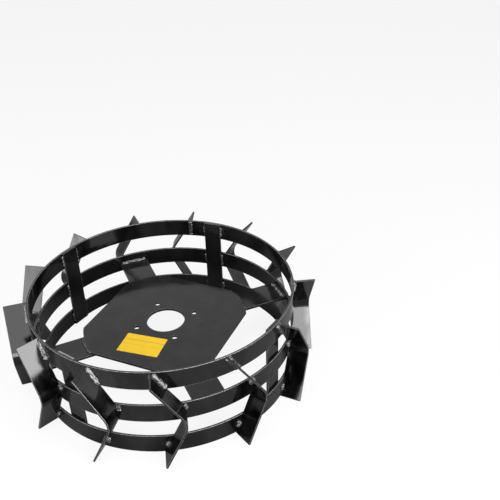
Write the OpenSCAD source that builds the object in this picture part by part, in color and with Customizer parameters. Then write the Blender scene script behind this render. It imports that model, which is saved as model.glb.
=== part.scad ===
// Cage wheel for a walk-behind tiller: a weldment of flat bar round a bored hub plate.
// Millimetres. The axle runs along Z, and the origin is the wheel's centre.

/* [Rims] */
// Outside diameter of the rims
rim_d = 428; // [380:1:520]
// Width of the rims' flat bar, along the axle
rim_w = 31.75; // [22:0.25:44]
// Thickness of the rims' flat bar
rim_t = 3.2; // [2:0.1:6]
// Distance from rim to rim, centre to centre
rim_pitch = 60.8; // [50:0.1:80]
// Angles of the lower, middle and upper rim's closing seam from +X
rim_seam_angles = [281, 181, 81]; // [0:1:360]

/* [Hub plate] */
// Width of the plate across its straight sides
plate_flats = 235; // [210:1:260]
// Diameter of the plate's rounded corners
plate_d = 272; // [255:1:310]
// Thickness of the plate
plate_t = 4.75; // [4:0.25:10]
// Angle of the plate's first corner from +X
plate_turn = 21.6; // [0:0.1:45]
// Diameter of the centre hole, which the axle flange's spigot goes through
hub_hole_d = 63; // [40:0.5:80]
// Diameter of the circle that the bolt holes lie on
bolt_circle_d = 100; // [95:1:130]
// Diameter of a bolt hole
bolt_hole_d = 9; // [6:0.5:13]

/* [Arms] */
// Width of an arm
arm_w = 50.8; // [30:0.2:64]
// Thickness of an arm
arm_t = 4.75; // [3:0.25:8]
// Height of the arms' top face over the wheel's middle plane
arm_top_z = -1; // [-6:0.5:6]
// Length of arm that lies under the plate's corner
arm_lap = 28; // [15:1:45]
// Angles from the plate's corners on to their arms, as the welder set them
arm_turns = [2.2, 0.7, 3.9, 2.4]; // [-6:0.1:6]

/* [Cross bars] */
// Angles of the cross bars from +X
cross_bar_angles = [69, 147, 235.5, 326.5]; // [0:0.5:360]
// Width of a cross bar
cross_bar_w = 31.75; // [20:0.25:44]
// Thickness of a cross bar
cross_bar_t = 3.2; // [2:0.1:6]
// Distance from the rims' outer edges in to the cross bars' ends
cross_bar_inset = 0.2; // [0:0.1:6]
// Gap that a tack closes between a cross bar's edges and the rims
cross_bar_gap = 0.05; // [0.02:0.01:0.3]

/* [Lugs] */
// Number of lugs round the wheel
lug_count = 13; // [9:1:16]
// Angle of the first lug's fold from +X
lug_first_angle = -102.4; // [-180:0.1:180]
// Turns of the lugs off their even spacing, as the welder set them
lug_turns = [-0.4, -2.6, -1, -0.6, 2.8, 0.6, 0, 0.6, -0.4, -0.2, 0.6, 0.6, -0.4]; // [-3:0.1:3]
// How far a lug stands out from the rims
lug_reach = 33.5; // [20:0.25:50]
// Thickness of a lug
lug_t = 3.2; // [2:0.1:6]
// Slant of a lug's upper half from the axle's direction
lug_tilt_upper = 33; // [15:0.5:38]
// Slant of a lug's lower half from the axle's direction
lug_tilt_lower = 26; // [15:0.5:38]
// Inside radius of a lug's fold
lug_fold_r = 25; // [12:0.5:40]
// Distance from the rims' outer edges in to the lugs' ends
lug_inset = 1.7; // [0:0.1:6]

/* [Welds] */
// Leg of the beads along the lugs
lug_bead = 4.5; // [2:0.1:6]
// Length of a lug's tacks on the middle and the lower rim
lug_tack = 12; // [6:0.5:20]
// Leg of the beads at both ends of the arms
arm_bead = 3.4; // [1.5:0.1:4]
// Leg of the tacks along the cross bars
tack_bead = 2.8; // [1.5:0.1:4]
// Length of a cross bar's tack
tack_length = 20; // [6:0.5:28]
// Width of the bead that closes a rim
seam_w = 7; // [4:0.5:12]
// Height of the bead that closes a rim
seam_h = 1.2; // [0.6:0.1:2]
// Distance from the edge of a piece in to the end of a bead
bead_inset = 2.2; // [0.5:0.1:4]

/* [Label] */
// Long side of the label
label_l = 69; // [40:1:80]
// Short side of the label
label_w = 45; // [25:1:50]
// Thickness of the label
label_t = 0.3; // [0.2:0.05:0.6]
// Straight side of the plate that the label lies along, counted from the first corner
label_side = 2; // [0:1:3]
// Distance from that side in to the middle of the label
label_from_side = 45.4; // [38:0.2:56]
// Shift of the label along that side
label_shift = -3.2; // [-10:0.2:10]
// Turn of the label out of line with that side
label_skew = 6.4; // [-12:0.2:12]

/* [Hidden] */
// Segments of a small round, and of a round as large as the rims
$fn = 72;
rim_fn = 720;
enamel = "#1d1d1e";
bead_enamel = "#343436";
label_yellow = "#f3c41c";

// Room that a cutting shape has past the piece that it cuts
cut_room = 1;

// Flats that make up the round of a lug's fold
fold_steps = 20;

rim_names = ["rim_lower", "rim_middle", "rim_upper"];
arm_count = 4;
arm_step = 360 / arm_count;
cross_bar_count = len(cross_bar_angles);

rim_r = rim_d / 2;
rim_inner_r = rim_r - rim_t;
rims_half = rim_pitch + rim_w / 2;

plate_r = plate_d / 2;
plate_arc_half = arm_step / 2 - acos(plate_flats / plate_d);
plate_top_z = arm_top_z + plate_t;

arm_start_r = plate_r - arm_lap;

cross_bar_length = 2 * (rims_half - cross_bar_inset);
cross_bar_seat_x = seat_x(cross_bar_w);
seam_seat_x = seat_x(seam_w);
seam_r = (pow(seam_w / 2, 2) + pow(seam_h, 2)) / (2 * seam_h);

lug_half = rims_half - lug_inset;
lug_mid_r = lug_fold_r + lug_t / 2;
lug_outer_r = lug_fold_r + lug_t;
lug_lead = (lug_run(lug_tilt_upper) + lug_run(lug_tilt_lower)) / 4;
lug_fold_y = lug_lead - lug_mid_r;
lug_foot_x = sqrt(pow(rim_r, 2) - pow(2 * lug_lead, 2)) - cut_room;

function arm_name(i) = str("arm_", i + 1);
function cross_bar_name(i) = str("cross_bar_", i + 1);
function lug_name(i) = str("lug_", i < 9 ? "0" : "", i + 1);

// How far out a flat face of this width lies when its edges touch the inside of the rims
function seat_x(w) = sqrt(pow(rim_inner_r, 2) - pow(w / 2, 2));

// Length of the straight half of a lug that has this slant, from the fold to its end
function lug_leg(tilt) = (lug_half - lug_mid_r * sin(tilt)) / cos(tilt);

// How far a lug's end lies behind its fold, round the wheel
function lug_run(tilt) = lug_mid_r * (1 - cos(tilt)) + lug_leg(tilt) * sin(tilt);

// Angle of the plate's corner over an arm, and of the arm itself
function corner_angle(i) = plate_turn + i * arm_step;
function arm_angle(i) = corner_angle(i) + arm_turns[i];

// Angle of the radius that runs through the middle of a lug
function lug_angle(i) =
    lug_first_angle + i * 360 / lug_count + lug_turns[i % len(lug_turns)] - asin(lug_lead / rim_r);

// Where a face of a lug meets the rims, at height z: r is the face's radius at the fold
function lug_face_y(z, r) =
    let (tilt = z > 0 ? lug_tilt_upper : lug_tilt_lower, rise = abs(z))
    lug_fold_y + (rise < r * sin(tilt) ? sqrt(pow(r, 2) - pow(rise, 2)) : r / cos(tilt) - rise * tan(tilt));
function lug_seat(z, r) =
    let (y = lug_face_y(z, r))
    [sqrt(pow(rim_r, 2) - pow(y, 2)), y, z];

// Rolled flat-bar rim, butt welded to a ring
module rim(i) {
    color(enamel)
    translate([0, 0, (i - 1) * rim_pitch])
    rotate_extrude($fn = rim_fn)
    translate([rim_inner_r, -rim_w / 2])
    square([rim_t, rim_w]);
}

// Square plate with rounded corners, bored for the machine's axle flange
module hub_plate() {
    color(enamel)
    translate([0, 0, arm_top_z])
    rotate([0, 0, plate_turn])
    linear_extrude(plate_t)
    difference() {
        intersection() {
            circle(d = plate_d, $fn = rim_fn);
            rotate(arm_step / 2) square(plate_flats, center = true);
        }
        circle(d = hub_hole_d);
        for (i = [0 : arm_count - 1])
            rotate(i * arm_step) translate([bolt_circle_d / 2, 0]) circle(d = bolt_hole_d);
    }
}

// Flat bar from under the plate's corner, coped to the inside of the middle rim
module arm(i) {
    color(enamel)
    rotate([0, 0, arm_angle(i)])
    translate([0, 0, arm_top_z - arm_t])
    linear_extrude(arm_t)
    intersection() {
        translate([arm_start_r, -arm_w / 2]) square([rim_r, arm_w]);
        circle(r = rim_inner_r, $fn = rim_fn);
    }
}

// Flat bar along the axle that ties the rims together from inside
module cross_bar(i) {
    color(enamel)
    rotate([0, 0, cross_bar_angles[i]])
    translate([cross_bar_seat_x - cross_bar_gap - cross_bar_t, -cross_bar_w / 2, -cross_bar_length / 2])
    cube([cross_bar_t, cross_bar_w, cross_bar_length]);
}

// Outline of a folded bar's face at radius r of the fold, from its lower end to its upper end
function lug_face(r) =
    let (
        lower = lug_leg(lug_tilt_lower) * [-sin(lug_tilt_lower), -cos(lug_tilt_lower)],
        upper = lug_leg(lug_tilt_upper) * [-sin(lug_tilt_upper), cos(lug_tilt_upper)],
        sweep = lug_tilt_lower + lug_tilt_upper,
        fold = [for (k = [0 : fold_steps])
            let (a = k * sweep / fold_steps - lug_tilt_lower) r * [cos(a), sin(a)]]
    )
    concat([fold[0] + lower], fold, [fold[fold_steps] + upper]);

function reversed(list) = [for (k = [len(list) - 1 : -1 : 0]) list[k]];

// Section of a folded bar between two radii of the fold, seen from outside the wheel
module lug_section(inner_r, outer_r) {
    translate([lug_fold_y, 0])
    polygon(concat(lug_face(outer_r), reversed(lug_face(inner_r))));
}

// That section drawn out along the radius, from inside the rims to the lugs' outer edge
module lug_blank(inner_r, outer_r) {
    translate([lug_foot_x, 0, 0])
    rotate([90, 0, 90])
    linear_extrude(rim_r + lug_reach - lug_foot_x)
    lug_section(inner_r, outer_r);
}

// The round of all three rims, to cope what stands on their outside
module rims_core() {
    cylinder(r = rim_r, h = 2 * (rims_half + cut_room), center = true, $fn = rim_fn);
}

// Lug: flat bar folded to a V, standing on edge, its foot coped to the rims
module lug(i) {
    color(enamel)
    rotate([0, 0, lug_angle(i)])
    difference() {
        lug_blank(lug_fold_r, lug_outer_r);
        rims_core();
    }
}

// Round rod between two points
module rod(from, to, r) {
    way = to - from;
    translate(from)
    rotate([0, acos(way.z / norm(way)), atan2(way.y, way.x)])
    cylinder(r = r, h = norm(way));
}

// Rods along one face of a lug where it crosses the rims: r is the face's radius at the fold
module lug_face_rods(r) {
    upper_near = rim_pitch - rim_w / 2 + bead_inset;
    upper_far = min(rims_half, lug_half) - bead_inset;
    middle_far = rim_w / 2 - bead_inset;
    middle_near = middle_far - lug_tack * cos(lug_tilt_upper);
    lower_near = -rim_pitch + lug_tack / 2 * cos(lug_tilt_lower);
    lower_far = -rim_pitch - lug_tack / 2 * cos(lug_tilt_lower);
    rod(lug_seat(upper_near, r), lug_seat(upper_far, r), lug_bead);
    rod(lug_seat(middle_near, r), lug_seat(middle_far, r), lug_bead);
    rod(lug_seat(lower_near, r), lug_seat(lower_far, r), lug_bead);
}

// Fillet beads along both faces of every lug
module lug_welds() {
    color(bead_enamel)
    for (i = [0 : lug_count - 1])
        rotate([0, 0, lug_angle(i)]) {
            difference() {
                lug_face_rods(lug_outer_r);
                lug_blank(max(cut_room, lug_fold_r - 2 * lug_bead), lug_outer_r);
                rims_core();
            }
            difference() {
                lug_face_rods(lug_fold_r);
                lug_blank(lug_fold_r, lug_outer_r + 2 * lug_bead);
                rims_core();
            }
        }
}

// Low beads on the inside of the rims, where the rolled bars' ends meet
module rim_seam_welds() {
    color(bead_enamel)
    for (i = [0 : len(rim_names) - 1])
        rotate([0, 0, rim_seam_angles[i]])
        translate([0, 0, (i - 1) * rim_pitch - rim_w / 2 + bead_inset])
        linear_extrude(rim_w - 2 * bead_inset)
        intersection() {
            translate([seam_seat_x - seam_h + seam_r, 0]) circle(r = seam_r);
            translate([seam_seat_x - seam_h, -seam_w / 2]) square([seam_h, seam_w]);
        }
}

// Quarter-round bead along an arc: out is 1 on the outside of the arc's wall, up is 1 on top of a face
module arc_bead(r, z, from, to, out, up) {
    rotate([0, 0, from])
    rotate_extrude(angle = to - from)
    intersection() {
        translate([r, z]) circle(r = arm_bead);
        translate([r - (out > 0 ? 0 : arm_bead), z - (up > 0 ? 0 : arm_bead)]) square(arm_bead);
    }
}

// Beads across the outer ends of the arms, above and below
module arm_rim_welds() {
    half = asin((arm_w / 2 - bead_inset) / rim_inner_r);
    color(bead_enamel)
    for (i = [0 : arm_count - 1])
        rotate([0, 0, arm_angle(i)]) {
            arc_bead(rim_inner_r, arm_top_z, -half, half, -1, 1);
            arc_bead(rim_inner_r, arm_top_z - arm_t, -half, half, -1, -1);
        }
}

// Beads along the plate's rounded corners, on top of the arms
module arm_plate_welds() {
    half = asin((arm_w / 2 - bead_inset) / (plate_r + arm_bead));
    color(bead_enamel)
    for (i = [0 : arm_count - 1])
        rotate([0, 0, corner_angle(i)])
            arc_bead(
                plate_r,
                arm_top_z,
                max(arm_turns[i] - half, -plate_arc_half),
                min(arm_turns[i] + half, plate_arc_half),
                1,
                1
            );
}

// Tacks along both edges of a cross bar, one at each rim
module cross_bar_welds() {
    color(bead_enamel)
    for (i = [0 : cross_bar_count - 1], k = [-1 : 1], side = [-1, 1])
        rotate([0, 0, cross_bar_angles[i]])
        translate([0, 0, k * rim_pitch - tack_length / 2])
        linear_extrude(tack_length)
        difference() {
            intersection() {
                translate([cross_bar_seat_x, side * cross_bar_w / 2]) circle(r = tack_bead);
                circle(r = rim_inner_r, $fn = rim_fn);
            }
            translate([cross_bar_seat_x - rim_r, -cross_bar_w / 2]) square([2 * rim_r, cross_bar_w]);
        }
}

// Sticker on the plate, with nothing printed on it
module blank_label() {
    color(label_yellow)
    rotate([0, 0, plate_turn + (label_side + 1 / 2) * arm_step])
    translate([plate_flats / 2 - label_from_side, label_shift, plate_top_z])
    rotate([0, 0, label_skew])
    linear_extrude(label_t)
    square([label_w, label_l], center = true);
}

for (i = [0 : len(rim_names) - 1])
    rim(i);
hub_plate();
for (i = [0 : arm_count - 1])
    arm(i);
for (i = [0 : cross_bar_count - 1])
    cross_bar(i);
for (i = [0 : lug_count - 1])
    lug(i);
rim_seam_welds();
arm_rim_welds();
arm_plate_welds();
cross_bar_welds();
lug_welds();
blank_label();
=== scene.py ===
"""Looks of a welded tiller cage wheel: black-enamelled flat bar, lumpy weld beads and a blank label."""

import math
import random

import bmesh
import bpy
from mathutils import Matrix, Vector, noise


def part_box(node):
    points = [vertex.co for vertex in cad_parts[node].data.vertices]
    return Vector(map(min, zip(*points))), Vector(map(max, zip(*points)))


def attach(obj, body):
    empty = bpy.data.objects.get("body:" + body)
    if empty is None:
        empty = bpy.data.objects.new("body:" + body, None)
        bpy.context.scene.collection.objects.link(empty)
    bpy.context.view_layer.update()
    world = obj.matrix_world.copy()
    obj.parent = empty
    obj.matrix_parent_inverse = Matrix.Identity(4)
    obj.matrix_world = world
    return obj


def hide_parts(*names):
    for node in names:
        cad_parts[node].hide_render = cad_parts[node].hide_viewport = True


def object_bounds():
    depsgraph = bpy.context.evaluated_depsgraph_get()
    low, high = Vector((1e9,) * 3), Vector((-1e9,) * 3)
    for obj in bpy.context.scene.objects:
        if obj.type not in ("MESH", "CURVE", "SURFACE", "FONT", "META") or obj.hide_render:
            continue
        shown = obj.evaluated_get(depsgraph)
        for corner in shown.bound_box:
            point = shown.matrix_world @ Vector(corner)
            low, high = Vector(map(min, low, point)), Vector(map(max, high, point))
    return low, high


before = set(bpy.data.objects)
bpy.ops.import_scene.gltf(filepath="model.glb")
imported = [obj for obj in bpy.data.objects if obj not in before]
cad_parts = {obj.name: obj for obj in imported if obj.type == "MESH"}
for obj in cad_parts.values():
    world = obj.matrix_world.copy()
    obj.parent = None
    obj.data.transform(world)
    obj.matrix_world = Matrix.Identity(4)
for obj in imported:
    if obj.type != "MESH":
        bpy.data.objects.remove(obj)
cad_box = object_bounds()

MM = 0.001

# Sizes that the frame gives
middle_low, middle_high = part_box("rim_middle")
upper_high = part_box("rim_upper")[1]
plate_low, plate_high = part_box("hub_plate")
arm_low, arm_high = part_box("arm_1")
bar_low, bar_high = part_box("cross_bar_1")
label_low, label_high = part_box("blank_label")
RIM_R = middle_high.x
RIM_W = middle_high.z - middle_low.z
RIM_PITCH = upper_high.z - middle_high.z
LUG_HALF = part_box("lug_01")[1].z
LUG_COUNT = sum(name.startswith("lug_") and name != "lug_welds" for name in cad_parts)

# Sizes of the flat bar and the plate that a box doesn't give
RIM_T = 3.2 * MM
RIM_INNER_R = RIM_R - RIM_T
RIM_WOBBLE = 0.25 * MM
RIM_WOBBLE_WAVES = 3
RIM_WOBBLE_APART = 7
RIM_SEAM_ANGLES = {"rim_lower": 281, "rim_middle": 181, "rim_upper": 81}
PLATE_FLATS = 235 * MM
PLATE_R = 136 * MM
PLATE_TURN = 21.6
HUB_HOLE_R = 31.5 * MM
BOLT_CIRCLE_R = 50 * MM
BOLT_HOLE_R = 4.5 * MM
ARM_COUNT = 4
ARM_STEP = 360 / ARM_COUNT
PLATE_ARC_HALF = ARM_STEP / 2 - math.degrees(math.acos(PLATE_FLATS / (2 * PLATE_R)))
ARM_W = 50.8 * MM
ARM_LAP = 28 * MM
ARM_TURNS = (2.2, 0.7, 3.9, 2.4)
CROSS_BAR_ANGLES = (69, 147, 235.5, 326.5)
CROSS_BAR_W = 31.75 * MM
CROSS_BAR_T = 3.2 * MM
CROSS_BAR_WEAR = 0.4
# Ends of the cross bars: slight wear, and on the third bar a painted highlight
CROSS_BAR_END_WEAR_AND_HIGHLIGHT = (0.2, 0.2, 2, 0.2)
CROSS_BAR_SEAT_X = math.sqrt(RIM_INNER_R**2 - (CROSS_BAR_W / 2) ** 2)
LUG_FIRST_ANGLE = -102.4
LUG_TURNS = (-0.4, -2.6, -1, -0.6, 2.8, 0.6, 0, 0.6, -0.4, -0.2, 0.6, 0.6, -0.4)
LUG_REACH = 33.5 * MM
LUG_T = 3.2 * MM
LUG_FOLD_R = 25 * MM
LUG_MID_R = LUG_FOLD_R + LUG_T / 2
LUG_TILT_UPPER = math.radians(33)
LUG_TILT_LOWER = math.radians(26)
LUG_WEAR = 0.5
LABEL_L = 69 * MM
LABEL_W = 45 * MM
LABEL_SIDE = 2
LABEL_FROM_SIDE = 45.4 * MM
LABEL_SHIFT = -3.2 * MM
LABEL_SKEW = 6.4
LABEL_CORNER_R = 1.5 * MM
LABEL_EDGE_R = 0.1 * MM
LABEL_YELLOW_DARK = (0.87, 0.55, 0.008)
LABEL_YELLOW_LIGHT = (0.93, 0.60, 0.014)
LABEL_GRAIN = 0.03 * MM

# Rules printed on the label: place across it, length as a share of its own, and ink
RULE_W = 0.6 * MM
RULES = ((0.3, 1, (0.10, 0.055, 0.01)), (0.55, 0.9, (0.55, 0.31, 0.01)))

# Weld beads
LUG_BEAD = 4.5 * MM
LUG_TACK = 12 * MM
ARM_BEAD = 3.4 * MM
TACK_BEAD = 2.8 * MM
TACK_LENGTH = 20 * MM
SEAM_W = 7 * MM
SEAM_H = 1.2 * MM
BEAD_INSET = 2.2 * MM
BEAD_STEP = 0.5 * MM
BEAD_MIN_STEPS = 8
BEAD_SIDES = 24
BEAD_TIP = 0.02
BEAD_SUNK = 0.5
ARM_BEAD_SUNK = 0.7
LUG_BEAD_SPREAD = (0.8, 1.05)
TACK_BEAD_SPREAD = (0.85, 1.15)
TACK_LENGTH_SPREAD = (0.75, 1.1)
RIPPLE_PITCH = 2.6 * MM
RIPPLE_DEPTH = 0.07
LUMP_SEEDS = (0, 99)
LUMP_FRACTAL = (0.5, 2, 4)
# Swell over which a bead goes from its paint to a painted highlight on its crests
CREST_HIGHLIGHT_SWELL = 0.16
# Length at each end of a bead that takes the ends' own painted highlight level
HIGHLIGHT_END = 2.5 * MM
# Lugs whose long beads get almost no painted highlight
DIM_BEAD_LUGS = (3, 4)
SPATTER_COUNT = 3
SPATTER_R = (0.4 * MM, 0.9 * MM)
SPATTER_REACH = (5 * MM, 14 * MM)

# Lumps of the beads: length, width and depth
LONG_LUMPS = (6 * MM, 2.5 * MM, 0.24)
FINE_LUMPS = (4 * MM, 2.5 * MM, 0.3)
SHORT_LUMPS = (2.6 * MM, 2.6 * MM, 0.4)

# Looks of the beads: their lumps, and how strongly a bead and its ends are lightened toward bare steel, a
# painted highlight with some wear
LUG_LOOK = (*LONG_LUMPS, 1, 1)
DIM_LUG_LOOK = (*LONG_LUMPS, 0.04, 0.8)
TACK_LOOK = (*SHORT_LUMPS, 0.18, 0.4)
ARM_LOOK = (*FINE_LUMPS, 0.6, 0.8)
PLATE_LOOK = (*SHORT_LUMPS, 0.02, 0.1)
CROSS_BAR_LOOK = (*SHORT_LUMPS, 0.02, 0.8)
SEAM_LOOK = (*FINE_LUMPS, 0.02, 0.8)

# Light of the white walls, and the floor's colour and glow, to the camera and mirrored
SKY_LIGHT = 0.15
FLOOR_WHITE = 0.88
FLOOR_WHITE_MIRRORED = 0.01
FLOOR_PALE_MIRRORED = 0.3
FLOOR_PALE = (0.75, 0.75, 0.75)
FLOOR_DULL = (0.12, 0.12, 0.12)
FLOOR_HALF = 6
FLOOR_ROUGHNESS = 0.9
SOFTBOX_DISTANCE = 2.2

# Rounding and steps of the meshes
EDGE_R = 0.8 * MM
EDGE_STEPS = 3
CORNER_R = 0.7 * MM
CORNER_BEND = math.radians(30)
CORNER_STEPS = 4
RIM_STEPS = 288
FOLD_STEPS = 24
ARC_STEPS = 24
HOLE_STEPS = 64

# Paint: cells of its noises to the metre, and the steel under it, whose colour also serves as a painted
# highlight on welds and on a cross bar's end
CLOUDS = 30
RUB_AND_HIGHLIGHT_NOISE = 300
GLOSS_PATCHES = 60
DENTS = 22
ORANGE_PEEL = 700
BARE_STEEL_AND_HIGHLIGHT = (0.40, 0.40, 0.41)


# Mesh helpers

def turn(degrees):
    """Rotation about the axle."""
    return Matrix.Rotation(math.radians(degrees), 4, "Z")


def skin(bm, rings, loop=False):
    """Faces between rings of points with equal counts, one band to each pair of rings."""
    rows = [[bm.verts.new(p) for p in ring] for ring in rings]
    pairs = list(zip(rows, rows[1:]))
    if loop:
        pairs.append((rows[-1], rows[0]))
    bands = []
    for low, high in pairs:
        count = len(low)
        bands.append([
            bm.faces.new((low[i], low[(i + 1) % count], high[(i + 1) % count], high[i]))
            for i in range(count)
        ])
    return rows, bands


def edge_arc(radius):
    """Inset and drop of the points round a quarter-round edge, from the flat face to the side."""
    turns = [math.pi / 2 * k / EDGE_STEPS for k in range(EDGE_STEPS + 1)]
    return [(radius * (1 - math.sin(a)), radius * (1 - math.cos(a))) for a in turns]


def inset(points, distance):
    """Outline moved to its left by a distance, with as many points."""
    moved = []
    count = len(points)
    for i, point in enumerate(points):
        ahead = (points[(i + 1) % count] - point).normalized()
        back = (point - points[i - 1]).normalized()
        normal = Vector((-ahead.y - back.y, ahead.x + back.x))
        moved.append(point + normal * (2 * distance / normal.length_squared))
    return moved


def round_corners(points, radius=CORNER_R):
    """Outline whose sharp corners are rounded; slight bends stay as they are."""
    rounded = []
    count = len(points)
    for i, point in enumerate(points):
        to_next = (points[(i + 1) % count] - point).normalized()
        to_last = (points[i - 1] - point).normalized()
        bend = math.pi - to_next.angle(to_last)
        if bend < CORNER_BEND:
            rounded.append(point)
            continue
        reach = radius * math.tan(bend / 2)
        start = point + to_last * reach
        end = point + to_next * reach
        for k in range(CORNER_STEPS + 1):
            t = k / CORNER_STEPS
            rounded.append(start.lerp(point, t).lerp(point.lerp(end, t), t))
    return rounded


def circle(radius, steps, centre=(0, 0), clockwise=False):
    sign = -1 if clockwise else 1
    turns = [sign * math.tau * k / steps for k in range(steps)]
    return [Vector(centre) + radius * Vector((math.cos(a), math.sin(a))) for a in turns]


def slab(outline, low, high, holes=(), edge_r=EDGE_R, wear=1):
    """Plate between two heights with rounded edges that carry a wear level: the outline runs anticlockwise,
    holes clockwise.
    """
    bm = bmesh.new()
    wear_and_highlight = bm.faces.layers.float.new("edge")
    tops, bottoms = [], []
    rounding = edge_arc(edge_r)
    levels = [(d, high - drop) for d, drop in rounding] + [(d, low + drop) for d, drop in reversed(rounding)]
    for loop in (outline, *holes):
        rings = [[p.to_3d() + Vector((0, 0, z)) for p in inset(loop, d)] for d, z in levels]
        rows, bands = skin(bm, rings[::-1])
        for k, band in enumerate(bands):
            if k != EDGE_STEPS:
                for face in band:
                    face[wear_and_highlight] = wear
        bottoms.append(rows[0])
        tops.append(rows[-1])
    for rows in (tops, bottoms):
        edges = [bm.edges.get((row[i - 1], row[i])) for row in rows for i in range(len(row))]
        bmesh.ops.triangle_fill(bm, use_beauty=True, edges=edges)
    bmesh.ops.recalc_face_normals(bm, faces=bm.faces)
    return bm


def add_piece(name, bm, material, slot, *nodes, place=None, flat=True):
    """Object from a bmesh that stands for CAD nodes; flat keeps its flat faces evenly lit up to the edges."""
    for face in bm.faces:
        face.smooth = True
    mesh = bpy.data.meshes.new(name)
    bm.to_mesh(mesh)
    bm.free()
    mesh.materials.append(material)
    piece = bpy.data.objects.new(name, mesh)
    bpy.context.scene.collection.objects.link(piece)
    if flat:
        piece.modifiers.new("even_normals", "WEIGHTED_NORMAL").weight = 100
    if place:
        piece.matrix_world = place
    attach(piece, "root")
    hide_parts(*nodes)


# Materials

def new_material(name):
    material = bpy.data.materials.new(name)
    material.use_nodes = True
    tree = material.node_tree
    return material, tree, tree.nodes["Principled BSDF"]


def noise_node(tree, scale, detail, roughness=0.5, stretch=1):
    """Noise in the object's own frame, drawn out along the axle by a factor."""
    coords = tree.nodes.new("ShaderNodeTexCoord")
    mapping = tree.nodes.new("ShaderNodeMapping")
    mapping.inputs["Scale"].default_value = (1, 1, 1 / stretch)
    tree.links.new(coords.outputs["Object"], mapping.inputs["Vector"])
    node = tree.nodes.new("ShaderNodeTexNoise")
    node.inputs["Scale"].default_value = scale
    node.inputs["Detail"].default_value = detail
    node.inputs["Roughness"].default_value = roughness
    tree.links.new(mapping.outputs["Vector"], node.inputs["Vector"])
    return node.outputs["Fac"]


def ramp(tree, value, *stops):
    """Colour ramp over a value: stops are pairs of place and grey level or colour."""
    node = tree.nodes.new("ShaderNodeValToRGB")
    elements = node.color_ramp.elements
    while len(elements) < len(stops):
        elements.new(1)
    for element, (place, colour) in zip(elements, stops):
        element.position = place
        element.color = (*colour, 1) if isinstance(colour, tuple) else (colour, colour, colour, 1)
    tree.links.new(value, node.inputs["Fac"])
    return node.outputs["Color"]


def mix(tree, factor, first, second):
    node = tree.nodes.new("ShaderNodeMix")
    node.data_type = "RGBA"
    tree.links.new(factor, node.inputs["Factor"])
    for socket, value in ((node.inputs[6], first), (node.inputs[7], second)):
        if isinstance(value, tuple):
            socket.default_value = (*value, 1)
        else:
            tree.links.new(value, socket)
    return node.outputs[2]


def math_node(tree, operation, first, second):
    node = tree.nodes.new("ShaderNodeMath")
    node.operation = operation
    for socket, value in zip(node.inputs, (first, second)):
        if isinstance(value, (int, float)):
            socket.default_value = value
        else:
            tree.links.new(value, socket)
    return node.outputs["Value"]


def bump(tree, height, distance, base=None):
    node = tree.nodes.new("ShaderNodeBump")
    node.inputs["Strength"].default_value = 1
    node.inputs["Distance"].default_value = distance
    tree.links.new(height, node.inputs["Height"])
    if base is not None:
        tree.links.new(base, node.inputs["Normal"])
    return node.outputs["Normal"]


def enamel(name, dark, light, peel, wear, waves, specular=0.43, stretch=1):
    """Glossy black paint on steel: cloudy film, orange peel, and paint thinned by wear on the edges; the same
    bare-steel colour is also a painted highlight on weld crests and ends.

    Stretch draws the clouds out along the axle into streaks: partly the marks of rolling and bending, partly
    a painted reflection.
    """
    material, tree, shader = new_material(name)
    shader.inputs["Specular IOR Level"].default_value = specular
    clouds = noise_node(tree, CLOUDS, 5, 0.6, stretch)
    film = ramp(tree, clouds, (0.42, dark), (0.62, light))
    wear_and_highlight = tree.nodes.new("ShaderNodeAttribute")
    wear_and_highlight.attribute_name = "edge"
    rub_and_highlight = ramp(tree, noise_node(tree, RUB_AND_HIGHLIGHT_NOISE, 4, 0.65), (0.35, 0.2 * wear), (0.65, wear))
    # Edge layer times rub noise: real wear on edges, and a painted highlight on welds and on a cross bar's
    # end
    wear_and_highlight_mask = math_node(tree, "MULTIPLY", wear_and_highlight.outputs["Fac"], rub_and_highlight)
    colour = mix(tree, wear_and_highlight_mask, film, BARE_STEEL_AND_HIGHLIGHT)
    tree.links.new(colour, shader.inputs["Base Color"])
    gloss = ramp(tree, noise_node(tree, GLOSS_PATCHES, 5, 0.6, stretch), (0.3, 0.07), (0.75, 0.17))
    tree.links.new(gloss, shader.inputs["Roughness"])
    dents = bump(tree, noise_node(tree, DENTS, 2, stretch=stretch), waves)
    grain = bump(tree, noise_node(tree, ORANGE_PEEL, 3), peel, dents)
    tree.links.new(grain, shader.inputs["Normal"])
    return material


def rule(tree, across, along, centre, length):
    """1 on a thin printed line that crosses the label's short side at a place, 0 elsewhere."""
    offset = math_node(tree, "ABSOLUTE", math_node(tree, "SUBTRACT", across, centre), 0)
    inside = math_node(tree, "LESS_THAN", math_node(tree, "ABSOLUTE", along, 0), length / 2)
    return math_node(tree, "MULTIPLY", math_node(tree, "LESS_THAN", offset, RULE_W / 2), inside)


def label_vinyl():
    """Yellow sticker with thin rules, and nothing written on it."""
    material, tree, shader = new_material("label_vinyl")
    colour = ramp(tree, noise_node(tree, 90, 4), (0.3, LABEL_YELLOW_DARK), (0.7, LABEL_YELLOW_LIGHT))
    coords = tree.nodes.new("ShaderNodeTexCoord")
    axes = tree.nodes.new("ShaderNodeSeparateXYZ")
    tree.links.new(coords.outputs["Object"], axes.inputs[0])
    for place, share, ink in RULES:
        mask = rule(tree, axes.outputs["X"], axes.outputs["Y"], LABEL_W * (place - 0.5), share * LABEL_L)
        colour = mix(tree, mask, colour, ink)
    tree.links.new(colour, shader.inputs["Base Color"])
    gloss = ramp(tree, noise_node(tree, 300, 3), (0.3, 0.32), (0.7, 0.45))
    tree.links.new(gloss, shader.inputs["Roughness"])
    tree.links.new(bump(tree, noise_node(tree, 500, 2), LABEL_GRAIN), shader.inputs["Normal"])
    return material


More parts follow.
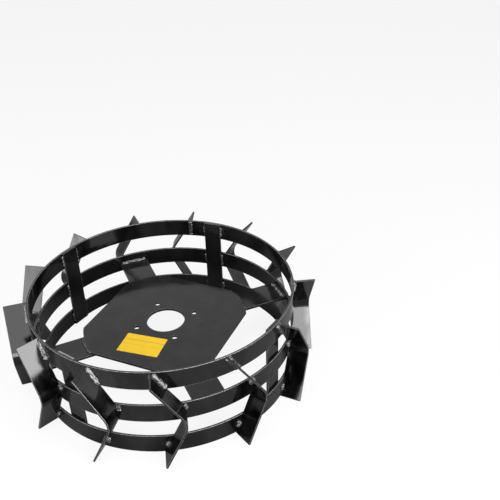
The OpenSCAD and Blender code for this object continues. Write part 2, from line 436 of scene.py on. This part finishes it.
# One black paint in two copies: a lighter one for the plate and arms, and a far darker one for rims, lugs and
# cross bars, darkened as painted shade for the rims' inner faces
LIT_PLATE_ENAMEL = enamel(
    "lit_plate_enamel", (0.010, 0.010, 0.0105), (0.017, 0.017, 0.0175), 0.02 * MM, 0.12, 0.3 * MM, specular=0.3)
SHADED_BAR_ENAMEL = enamel(
    "shaded_bar_enamel", (0.0003, 0.0003, 0.0004), (0.004, 0.004, 0.0042), 0.02 * MM, 0.4, 1.2 * MM, stretch=2.5)
# Weld paint: its high wear level lightens the beads' crests and ends toward bare steel, mostly a painted
# highlight
WELD_ENAMEL = enamel(
    "weld_enamel", (0.006, 0.006, 0.0065), (0.018, 0.018, 0.019), 0.05 * MM, 0.9, 1.2 * MM, specular=0.6)
LABEL_VINYL = label_vinyl()


# Rims

def add_rim(name, level):
    """Rolled flat bar, a little out of true as a hand-welded ring is."""
    bm = bmesh.new()
    wear_and_highlight = bm.faces.layers.float.new("edge")
    outer_top = [(RIM_R - d, RIM_W / 2 - drop) for d, drop in edge_arc(EDGE_R)]
    outer_low = [(r, -z) for r, z in reversed(outer_top)]
    inner_low = [(RIM_R + RIM_INNER_R - r, z) for r, z in reversed(outer_low)]
    inner_top = [(r, -z) for r, z in reversed(inner_low)]
    profile = outer_top + outer_low + inner_low + inner_top
    rings = []
    for r, z in profile:
        ring = []
        for k in range(RIM_STEPS):
            a = math.tau * k / RIM_STEPS
            x, y = math.cos(a), math.sin(a)
            spot = Vector((RIM_WOBBLE_WAVES * x, RIM_WOBBLE_WAVES * y, RIM_WOBBLE_APART * level))
            wobbled = r + RIM_WOBBLE * noise.noise(spot)
            ring.append((wobbled * x, wobbled * y, z + level * RIM_PITCH))
        rings.append(ring)
    bands = skin(bm, rings, loop=True)[1]
    for k, band in enumerate(bands):
        if k % (EDGE_STEPS + 1) != EDGE_STEPS:
            for face in band:
                face[wear_and_highlight] = 1
    bmesh.ops.recalc_face_normals(bm, faces=bm.faces)
    add_piece(f"{name}_ring", bm, SHADED_BAR_ENAMEL, "black_enamel", name)


for level, name in enumerate(("rim_lower", "rim_middle", "rim_upper"), start=-1):
    add_rim(name, level)


# Hub plate and arms

def plate_outline():
    points = []
    for corner in range(ARM_COUNT):
        for k in range(ARC_STEPS + 1):
            a = math.radians(PLATE_TURN + corner * ARM_STEP + PLATE_ARC_HALF * (2 * k / ARC_STEPS - 1))
            points.append(PLATE_R * Vector((math.cos(a), math.sin(a))))
    return points


def bolt_hole(i):
    a = math.radians(PLATE_TURN + i * ARM_STEP)
    centre = BOLT_CIRCLE_R * Vector((math.cos(a), math.sin(a)))
    return circle(BOLT_HOLE_R, HOLE_STEPS // 2, centre, clockwise=True)


plate_holes = [circle(HUB_HOLE_R, HOLE_STEPS, clockwise=True), *(bolt_hole(i) for i in range(ARM_COUNT))]
plate = slab(plate_outline(), plate_low.z, plate_high.z, plate_holes)
add_piece("hub_plate_disc", plate, LIT_PLATE_ENAMEL, "black_enamel", "hub_plate")


def arm_outline():
    half = math.asin(ARM_W / 2 / RIM_INNER_R)
    start_x = PLATE_R - ARM_LAP
    points = [Vector((start_x, ARM_W / 2)), Vector((start_x, -ARM_W / 2))]
    for k in range(ARC_STEPS + 1):
        a = half * (2 * k / ARC_STEPS - 1)
        points.append(RIM_INNER_R * Vector((math.cos(a), math.sin(a))))
    return round_corners(points)


for i in range(ARM_COUNT):
    arm = slab(arm_outline(), arm_low.z, arm_high.z)
    arm.transform(turn(PLATE_TURN + i * ARM_STEP + ARM_TURNS[i]))
    add_piece(f"arm_{i + 1}_bar", arm, LIT_PLATE_ENAMEL, "black_enamel", f"arm_{i + 1}")


# Cross bars

def rectangle(length, width):
    corners = ((-1, -1), (1, -1), (1, 1), (-1, 1))
    return [Vector((x * length / 2, y * width / 2)) for x, y in corners]


STAND_UP = Matrix(((0, 0, 1, 0), (1, 0, 0, 0), (0, 1, 0, 0), (0, 0, 0, 1)))
END_SLOPE = 0.8

for i, angle in enumerate(CROSS_BAR_ANGLES):
    outline = round_corners(rectangle(CROSS_BAR_W, bar_high.z - bar_low.z))
    bar = slab(outline, CROSS_BAR_SEAT_X - CROSS_BAR_T, CROSS_BAR_SEAT_X, wear=CROSS_BAR_WEAR)
    wear_and_highlight = bar.faces.layers.float.get("edge")
    # Bar ends: slight wear, and a painted highlight on the third bar's end
    for face in bar.faces:
        if abs(face.normal.y) > END_SLOPE:
            face[wear_and_highlight] = CROSS_BAR_END_WEAR_AND_HIGHLIGHT[i]
    bar.transform(turn(angle) @ STAND_UP)
    add_piece(f"cross_bar_{i + 1}_flat", bar, SHADED_BAR_ENAMEL, "black_enamel", f"cross_bar_{i + 1}")


# Lugs

def lug_leg(tilt):
    return (LUG_HALF - LUG_MID_R * math.sin(tilt)) / math.cos(tilt)


def lug_run(tilt):
    return LUG_MID_R * (1 - math.cos(tilt)) + lug_leg(tilt) * math.sin(tilt)


LUG_LEAD = (lug_run(LUG_TILT_UPPER) + lug_run(LUG_TILT_LOWER)) / 4
LUG_FOLD_Y = LUG_LEAD - LUG_MID_R


def lug_angle(i):
    return LUG_FIRST_ANGLE + i * 360 / LUG_COUNT + LUG_TURNS[i] - math.degrees(math.asin(LUG_LEAD / RIM_R))


def lug_face(radius):
    """Line of a lug's face at a radius of the fold, from its lower end to its upper end."""
    sweep = LUG_TILT_LOWER + LUG_TILT_UPPER
    turns = [k * sweep / FOLD_STEPS - LUG_TILT_LOWER for k in range(FOLD_STEPS + 1)]
    fold = [Vector((LUG_FOLD_Y + radius * math.cos(a), radius * math.sin(a))) for a in turns]
    lower = lug_leg(LUG_TILT_LOWER) * Vector((-math.sin(LUG_TILT_LOWER), -math.cos(LUG_TILT_LOWER)))
    upper = lug_leg(LUG_TILT_UPPER) * Vector((-math.sin(LUG_TILT_UPPER), math.cos(LUG_TILT_UPPER)))
    return [fold[0] + lower, *fold, fold[-1] + upper]


def lug_outline():
    return round_corners(lug_face(LUG_FOLD_R + LUG_T) + lug_face(LUG_FOLD_R)[::-1])


for i in range(LUG_COUNT):
    lug = slab(lug_outline(), 0, RIM_R + LUG_REACH, wear=LUG_WEAR)
    for vert in lug.verts:
        if vert.co.z < RIM_R / 2:
            vert.co.z += math.sqrt(RIM_R**2 - vert.co.x**2)
    lug.transform(turn(lug_angle(i)) @ STAND_UP)
    name = f"lug_{i + 1:02d}"
    add_piece(f"{name}_bar", lug, SHADED_BAR_ENAMEL, "black_enamel", name)


# Label

label_outline = round_corners(rectangle(LABEL_W, LABEL_L), LABEL_CORNER_R)
label = slab(label_outline, label_low.z, label_high.z, edge_r=LABEL_EDGE_R)
label_shift = Matrix.Translation((PLATE_FLATS / 2 - LABEL_FROM_SIDE, LABEL_SHIFT, 0))
label_place = turn(PLATE_TURN + (LABEL_SIDE + 0.5) * ARM_STEP) @ label_shift @ turn(LABEL_SKEW)
add_piece("plain_label", label, LABEL_VINYL, "label_vinyl", "blank_label", place=label_place)


# Weld beads

def bead(bm, place, length, legs, hidden, rng, look):
    """Lumpy bead: place gives a point and the two free directions there, at a length along the bead.

    Legs are the bead's sizes in the two free directions, and hidden the depths that are sunk in the metal.
    The crests of its lumps are lightened the most toward bare steel: a painted highlight, with some wear.
    """
    wear_and_highlight = bm.faces.layers.float.get("edge") or bm.faces.layers.float.new("edge")
    steps = max(BEAD_MIN_STEPS, round(length / BEAD_STEP))
    end = min(max(legs), length / 3)
    seed = Vector([rng.uniform(*LUMP_SEEDS) for _ in range(3)])
    lump_length, lump_width, lump_depth, highlight_and_wear, end_highlight_and_wear = look
    rings, swells, highlights_and_wear = [], [], []
    for k in range(steps + 1):
        s = length * k / steps
        highlights_and_wear.append(end_highlight_and_wear if min(s, length - s) < HIGHLIGHT_END else highlight_and_wear)
        point, out, side = place(s)
        taper = math.sqrt(max(1 - max(0, 1 - min(s, length - s) / end) ** 2, BEAD_TIP))
        ring, swell = [], []
        for j in range(BEAD_SIDES):
            a = math.tau * j / BEAD_SIDES
            lag = legs[0] / 2 * math.sin(2 * a)
            ripple = RIPPLE_DEPTH * math.sin(math.tau * (s - lag) / RIPPLE_PITCH)
            round_it = Vector((0, legs[0] * math.cos(a), legs[1] * math.sin(a))) / lump_width
            spot = seed + Vector((s / lump_length, 0, 0)) + round_it
            swell.append(ripple + lump_depth * noise.fractal(spot, *LUMP_FRACTAL))
            size = taper * (1 + swell[-1])
            across = legs[0] if math.cos(a) > 0 else hidden[0]
            along = legs[1] if math.sin(a) > 0 else hidden[1]
            ring.append(point + size * (across * math.cos(a) * out + along * math.sin(a) * side))
        rings.append(ring)
        swells.append(swell)
    rows, bands = skin(bm, rings)
    # Lighten the crests toward bare steel: a painted highlight, with some wear
    for band, swell, rub_and_highlight in zip(bands, swells, highlights_and_wear):
        for face, height in zip(band, swell):
            face[wear_and_highlight] = rub_and_highlight * min(max(0.5 + height / CREST_HIGHLIGHT_SWELL, 0), 1)
    bm.faces.new(rows[0][::-1])
    bm.faces.new(rows[-1])


def spatter(bm, place, length, rng, ways=(0, 1), rim_r=RIM_R):
    """Drops beside a bead: way 0 puts them on the flat bar, and way 1 on the face of the rim at a radius."""
    for _ in range(SPATTER_COUNT):
        point, *directions = place(rng.uniform(0, length))
        way = rng.choice(ways)
        centre = point + rng.uniform(*SPATTER_REACH) * directions[way]
        radius = rng.uniform(*SPATTER_R)
        if way == 1:
            level = RIM_PITCH * round(point.z / RIM_PITCH)
            if abs(centre.z - level) > RIM_W / 2 - radius:
                continue
            centre.xy *= rim_r / centre.xy.length
        bmesh.ops.create_icosphere(bm, subdivisions=2, radius=radius, matrix=Matrix.Translation(centre))


def straight(start, end, out, side):
    """Place along a straight bead, and its length."""
    way = end - start
    return lambda s: (start + way * (s / way.length), out, side), way.length


def arc(angle, half, radius, level, out_sign, up_sign):
    """Place along a bead that follows an arc about the axle, and its length."""
    def place(s):
        a = math.radians(angle - half) + s / radius
        radial = Vector((math.cos(a), math.sin(a), 0))
        return radius * radial + Vector((0, 0, level)), out_sign * radial, Vector((0, 0, up_sign))
    return place, 2 * math.radians(half) * radius


def lug_seat(z, radius):
    """Where a face of a lug meets the rims at a height, and the face's slant there."""
    tilt = LUG_TILT_UPPER if z > 0 else -LUG_TILT_LOWER
    rise = radius * math.sin(tilt)
    slant = math.asin(z / radius) if abs(z) < abs(rise) else tilt
    fold_y = radius * math.cos(slant) - (z - radius * math.sin(slant)) * math.tan(slant)
    y = LUG_FOLD_Y + fold_y
    return Vector((math.sqrt(RIM_R**2 - y**2), y, z)), slant


def lug_weld_spans():
    """Lower and upper height of the beads on one face of a lug, rim by rim."""
    upper = (RIM_PITCH - RIM_W / 2 + BEAD_INSET, LUG_HALF - BEAD_INSET)
    middle_top = RIM_W / 2 - BEAD_INSET
    middle = (middle_top - LUG_TACK * math.cos(LUG_TILT_UPPER), middle_top)
    reach = LUG_TACK / 2 * math.cos(LUG_TILT_LOWER)
    lower = (-RIM_PITCH - reach, -RIM_PITCH + reach)
    return upper, middle, lower


def along_lug(about, low, high, radius, sign):
    """Place along a bead on a lug's face between two heights, and its length."""
    length = (lug_seat(high, radius)[0] - lug_seat(low, radius)[0]).length

    def place(s):
        seat, slant = lug_seat(low + (high - low) * s / length, radius)
        out = about.to_3x3() @ Vector((1, 0, 0))
        side = about.to_3x3() @ Vector((0, sign * math.cos(slant), sign * math.sin(slant)))
        return about @ seat, out, side
    return place, length


def add_lug_welds():
    rng = random.Random(7)
    bm = bmesh.new()
    for i in range(LUG_COUNT):
        about = turn(lug_angle(i))
        upper_look = DIM_LUG_LOOK if i + 1 in DIM_BEAD_LUGS else LUG_LOOK
        for radius, sign in ((LUG_FOLD_R + LUG_T, 1), (LUG_FOLD_R, -1)):
            for (low, high), look in zip(lug_weld_spans(), (upper_look, TACK_LOOK, TACK_LOOK)):
                leg = LUG_BEAD * rng.uniform(*LUG_BEAD_SPREAD)
                sunk = BEAD_SUNK * leg
                place, length = along_lug(about, low, high, radius, sign)
                bead(bm, place, length, (leg, leg), (sunk, sunk), rng, look)
                spatter(bm, place, length, rng)
    bmesh.ops.recalc_face_normals(bm, faces=bm.faces)
    add_piece("lug_beads", bm, WELD_ENAMEL, "weld_enamel", "lug_welds", flat=False)


def add_arm_welds():
    rng = random.Random(11)
    rim_half = math.degrees(math.asin((ARM_W / 2 - BEAD_INSET) / RIM_INNER_R))
    rims, plates = bmesh.new(), bmesh.new()
    hidden = (ARM_BEAD_SUNK * RIM_T, ARM_BEAD_SUNK * RIM_T)
    for i in range(ARM_COUNT):
        corner = PLATE_TURN + i * ARM_STEP
        angle = corner + ARM_TURNS[i]
        for level, up in ((arm_high.z, 1), (arm_low.z, -1)):
            place, length = arc(angle, rim_half, RIM_INNER_R, level, -1, up)
            bead(rims, place, length, (ARM_BEAD, ARM_BEAD), hidden, rng, ARM_LOOK)
            spatter(rims, place, length, rng, ways=(0,))
        bar_half = math.degrees(math.asin((ARM_W / 2 - BEAD_INSET) / (PLATE_R + ARM_BEAD)))
        start = max(ARM_TURNS[i] - bar_half, -PLATE_ARC_HALF)
        end = min(ARM_TURNS[i] + bar_half, PLATE_ARC_HALF)
        place, length = arc(corner + (start + end) / 2, (end - start) / 2, PLATE_R, arm_high.z, 1, 1)
        bead(plates, place, length, (ARM_BEAD, ARM_BEAD), hidden, rng, PLATE_LOOK)
    for bm, name in ((rims, "arm_rim"), (plates, "arm_plate")):
        bmesh.ops.recalc_face_normals(bm, faces=bm.faces)
        add_piece(f"{name}_beads", bm, WELD_ENAMEL, "weld_enamel", f"{name}_welds", flat=False)


def add_cross_bar_welds():
    rng = random.Random(5)
    bm = bmesh.new()
    for angle in CROSS_BAR_ANGLES:
        about = turn(angle)
        out = about.to_3x3() @ Vector((-1, 0, 0))
        for level in (-RIM_PITCH, 0, RIM_PITCH):
            for sign in (-1, 1):
                half = TACK_LENGTH / 2 * rng.uniform(*TACK_LENGTH_SPREAD)
                foot = Vector((CROSS_BAR_SEAT_X, sign * CROSS_BAR_W / 2, level))
                start = about @ (foot - Vector((0, 0, half)))
                end = about @ (foot + Vector((0, 0, half)))
                side = about.to_3x3() @ Vector((0, sign, 0))
                leg = TACK_BEAD * rng.uniform(*TACK_BEAD_SPREAD)
                sunk = BEAD_SUNK * leg
                place, length = straight(start, end, out, side)
                bead(bm, place, length, (leg, leg), (sunk, sunk), rng, CROSS_BAR_LOOK)
                spatter(bm, place, length, rng, ways=(1,), rim_r=RIM_INNER_R)
    bmesh.ops.recalc_face_normals(bm, faces=bm.faces)
    add_piece("cross_bar_beads", bm, WELD_ENAMEL, "weld_enamel", "cross_bar_welds", flat=False)


def add_seam_welds():
    rng = random.Random(3)
    bm = bmesh.new()
    for name, angle in RIM_SEAM_ANGLES.items():
        low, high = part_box(name)
        turned = turn(angle).to_3x3()
        foot = turned @ Vector((RIM_INNER_R, 0, 0))
        start = foot + Vector((0, 0, low.z + BEAD_INSET))
        end = foot + Vector((0, 0, high.z - BEAD_INSET))
        place, length = straight(start, end, turned @ Vector((-1, 0, 0)), turned @ Vector((0, 1, 0)))
        bead(bm, place, length, (SEAM_H, SEAM_W / 2), (SEAM_H, SEAM_W / 2), rng, SEAM_LOOK)
    bmesh.ops.recalc_face_normals(bm, faces=bm.faces)
    add_piece("rim_seam_beads", bm, WELD_ENAMEL, "weld_enamel", "rim_seam_welds", flat=False)


add_lug_welds()
add_arm_welds()
add_cross_bar_welds()
add_seam_welds()


# Camera, floor and light

CAMERA_PLACE = Vector((0.1443, -0.9205, 0.6994))
CAMERA_RIGHT = Vector((0.99966, -0.0136, -0.02223))
CAMERA_UP = Vector((0.02606, 0.52173, 0.85273))

camera_data = bpy.data.cameras.new("camera")
camera_data.sensor_width = 36
camera_data.lens = 49.3
camera = bpy.data.objects.new("camera", camera_data)
bpy.context.scene.collection.objects.link(camera)
camera_axes = Matrix((CAMERA_RIGHT, CAMERA_UP, CAMERA_RIGHT.cross(CAMERA_UP))).transposed()
camera.matrix_world = Matrix.Translation(CAMERA_PLACE) @ camera_axes.to_4x4()
bpy.context.scene.camera = camera

floor_mesh = bpy.data.meshes.new("floor")
floor_bm = bmesh.new()
bmesh.ops.create_grid(floor_bm, x_segments=1, y_segments=1, size=FLOOR_HALF)
floor_bm.to_mesh(floor_mesh)
floor_bm.free()
floor = bpy.data.objects.new("floor", floor_mesh)
floor.location.z = cad_box[0].z
bpy.context.scene.collection.objects.link(floor)


def seen_rays(tree, direct, mirrored):
    """Level for rays by which the camera sees a surface, directly or through glass, or mirrored."""
    path = tree.nodes.new("ShaderNodeLightPath")
    through = math_node(tree, "MAXIMUM", path.outputs["Is Camera Ray"], path.outputs["Is Transmission Ray"])
    plain = math_node(tree, "MULTIPLY", through, direct)
    glossy = math_node(tree, "MULTIPLY", path.outputs["Is Glossy Ray"], mirrored)
    return math_node(tree, "MAXIMUM", plain, glossy)


floor_material, floor_tree, floor_shader = new_material("floor")
floor_colour = mix(floor_tree, seen_rays(floor_tree, 1, FLOOR_PALE_MIRRORED), FLOOR_DULL, FLOOR_PALE)
floor_tree.links.new(floor_colour, floor_shader.inputs["Base Color"])
floor_shader.inputs["Roughness"].default_value = FLOOR_ROUGHNESS
floor_glow = floor_tree.nodes.new("ShaderNodeEmission")
floor_mix = floor_tree.nodes.new("ShaderNodeMixShader")
floor_tree.links.new(seen_rays(floor_tree, FLOOR_WHITE, FLOOR_WHITE_MIRRORED), floor_mix.inputs[0])
floor_tree.links.new(floor_shader.outputs[0], floor_mix.inputs[1])
floor_tree.links.new(floor_glow.outputs[0], floor_mix.inputs[2])
floor_tree.links.new(floor_mix.outputs[0], floor_tree.nodes["Material Output"].inputs["Surface"])
floor_mesh.materials.append(floor_material)

world = bpy.data.worlds.new("studio")
world.use_nodes = True
world_tree = world.node_tree
sky = world_tree.nodes["Background"]
sky.inputs["Color"].default_value = (1, 1, 1, 1)
sky_level = seen_rays(world_tree, 1 - SKY_LIGHT, 1 - SKY_LIGHT)
world_tree.links.new(math_node(world_tree, "ADD", sky_level, SKY_LIGHT), sky.inputs["Strength"])
bpy.context.scene.world = world


def add_softbox(name, azimuth, elevation, width, height, radiance):
    """Soft lamp that faces the wheel: azimuth 0 is in front, 90 to the right."""
    a, e = math.radians(azimuth), math.radians(elevation)
    away = Vector((math.sin(a) * math.cos(e), -math.cos(a) * math.cos(e), math.sin(e)))
    lamp_data = bpy.data.lights.new(name, "AREA")
    lamp_data.shape = "RECTANGLE"
    lamp_data.size = width
    lamp_data.size_y = height
    lamp_data.energy = math.pi * width * height * radiance
    lamp = bpy.data.objects.new(name, lamp_data)
    lamp.location = SOFTBOX_DISTANCE * away
    lamp.rotation_euler = away.to_track_quat("Z", "Y").to_euler()
    lamp.visible_camera = False
    bpy.context.scene.collection.objects.link(lamp)


# Softboxes: azimuth and elevation in degrees, width and height in metres, and radiance
SOFTBOXES = {
    "front_softbox": (12, 8, 0.95, 0.95, 9),
    "front_fill": (12, 28, 0.95, 0.95, 2.6),
    "front_right_softbox": (36, 8, 0.95, 0.95, 17),
    "right_softbox": (62, 23, 0.95, 0.95, 12.8),
    "left_softbox": (-62, 21, 2.4, 0.8, 6.3),
    "low_card": (-32.5, 2.5, 0.6, 0.23, 12),
    "top_softbox": (0, 80, 1.4, 1.4, 3.4),
}
for name, settings in SOFTBOXES.items():
    add_softbox(name, *settings)

bpy.context.scene.view_settings.view_transform = "Standard"
